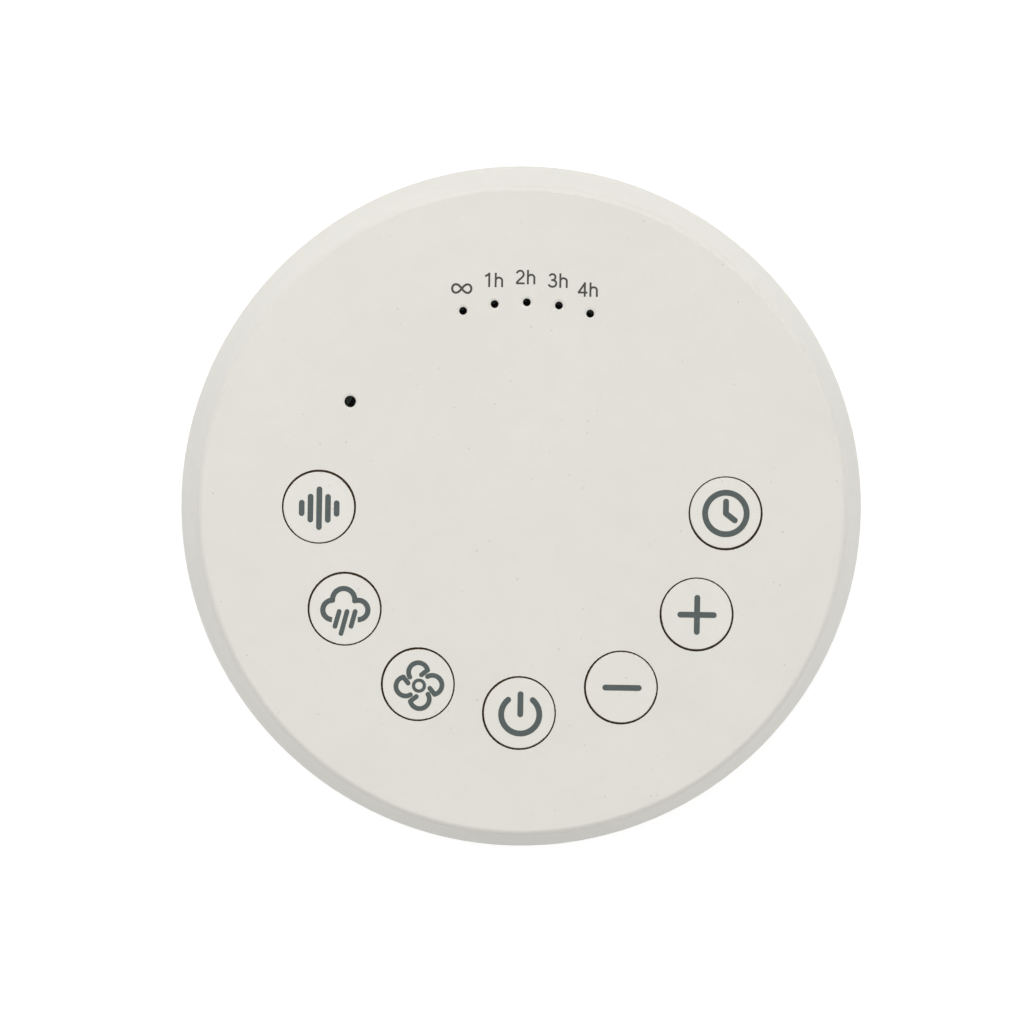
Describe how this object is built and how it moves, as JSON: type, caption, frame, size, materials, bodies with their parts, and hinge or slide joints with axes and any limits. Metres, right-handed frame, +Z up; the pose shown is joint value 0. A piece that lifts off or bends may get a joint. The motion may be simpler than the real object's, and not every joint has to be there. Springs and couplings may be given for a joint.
{
  "type": "white noise sound machine",
  "caption": "Round sound machine with a flat button face, tapering side wall, slotted sound ring, downward-firing loudspeaker and rubber feet.",
  "frame": {"origin": "on the table, under the middle of the machine", "axes": "+Z up, -Y towards the user (the power button), +X to the user's right, +Y the back with the sockets"},
  "size_m": [0.1198, 0.1198, 0.056],
  "materials": {
    "shell_plastic": "fine matte moulded texture, off-white",
    "button_plastic": "smooth matte, off-white, printed grey icons",
    "ring_plastic": "fine matte moulded texture, off-white",
    "black_plastic": "matte black moulding",
    "circuit_board": "green solder mask",
    "screw_steel": "zinc plated",
    "plated_steel": "pressed and plated steel",
    "socket_plastic": "natural nylon",
    "led_lens": "clear lens, unlit",
    "gasket_foam": "closed-cell foam",
    "terminal_brass": "tinned tags on a strip",
    "soft_rubber": "matt soft rubber",
    "spider_cloth": "varnished cloth",
    "cone_paper": "pressed paper pulp",
    "coil_copper": "enamelled copper winding",
    "magnet_ferrite": "sintered ferrite",
    "grille_fabric": "open black scrim",
    "red_lead": "glossy insulation",
    "black_lead": "glossy insulation"
  },
  "bodies": {
    "housing": {"top_shell": "shell_plastic", "switch_bodies": "black_plastic", "main_board": "circuit_board", "board_screws": "screw_steel", "control_chips": "black_plastic", "capacitors": "plated_steel", "lead_sockets": "socket_plastic", "timer_leds": "led_lens", "timer_light_shield": "black_plastic", "status_led": "led_lens", "status_light_tube": "black_plastic", "speaker_baffle": "black_plastic", "speaker_gasket": "gasket_foam", "speaker_frame": "plated_steel", "speaker_screws": "screw_steel", "speaker_terminals": "terminal_brass", "speaker_surround": "soft_rubber", "speaker_spider": "spider_cloth", "magnet_front_plate": "plated_steel", "ring_magnet": "magnet_ferrite", "magnet_yoke": "plated_steel", "sound_ring": "ring_plastic", "grille_cloth": "grille_fabric", "sound_deflector": "black_plastic", "port_board": "circuit_board", "port_board_screws": "screw_steel", "usb_shell": "plated_steel", "usb_tongue": "black_plastic", "headphone_jack": "black_plastic", "power_lead_red": "red_lead", "power_lead_black": "black_lead", "speaker_lead_red": "red_lead", "speaker_lead_black": "black_lead", "base_plate": "shell_plastic", "base_screws": "screw_steel", "rubber_feet": "soft_rubber"},
    "wave_key": {"wave_button": "button_plastic", "wave_plunger": "black_plastic"},
    "rain_key": {"rain_button": "button_plastic", "rain_plunger": "black_plastic"},
    "fan_key": {"fan_button": "button_plastic", "fan_plunger": "black_plastic"},
    "power_key": {"power_button": "button_plastic", "power_plunger": "black_plastic"},
    "volume_down_key": {"volume_down_button": "button_plastic", "volume_down_plunger": "black_plastic"},
    "volume_up_key": {"volume_up_button": "button_plastic", "volume_up_plunger": "black_plastic"},
    "timer_key": {"timer_button": "button_plastic", "timer_plunger": "black_plastic"},
    "cone_assembly": {"speaker_cone": "cone_paper", "dust_cap": "cone_paper", "voice_coil": "coil_copper"}
  },
  "joints": [
    {"name": "wave_press", "type": "slide", "parent": "housing", "child": "wave_key", "axis": [0, 0, -1], "range_m": [0, 0.0004], "stiffness_N_per_m": 500, "springref_m": -0.0003},
    {"name": "rain_press", "type": "slide", "parent": "housing", "child": "rain_key", "axis": [0, 0, -1], "range_m": [0, 0.0004], "stiffness_N_per_m": 500, "springref_m": -0.0003},
    {"name": "fan_press", "type": "slide", "parent": "housing", "child": "fan_key", "axis": [0, 0, -1], "range_m": [0, 0.0004], "stiffness_N_per_m": 500, "springref_m": -0.0003},
    {"name": "power_press", "type": "slide", "parent": "housing", "child": "power_key", "axis": [0, 0, -1], "range_m": [0, 0.0004], "stiffness_N_per_m": 500, "springref_m": -0.0003},
    {"name": "volume_down_press", "type": "slide", "parent": "housing", "child": "volume_down_key", "axis": [0, 0, -1], "range_m": [0, 0.0004], "stiffness_N_per_m": 500, "springref_m": -0.0003},
    {"name": "volume_up_press", "type": "slide", "parent": "housing", "child": "volume_up_key", "axis": [0, 0, -1], "range_m": [0, 0.0004], "stiffness_N_per_m": 500, "springref_m": -0.0003},
    {"name": "timer_press", "type": "slide", "parent": "housing", "child": "timer_key", "axis": [0, 0, -1], "range_m": [0, 0.0004], "stiffness_N_per_m": 500, "springref_m": -0.0003},
    {"name": "cone_travel", "type": "slide", "parent": "housing", "child": "cone_assembly", "axis": [0, 0, 1], "range_m": [-0.0008, 0.0008], "stiffness_N_per_m": 1500, "deforming": ["speaker_surround", "speaker_spider"]}
  ]
}
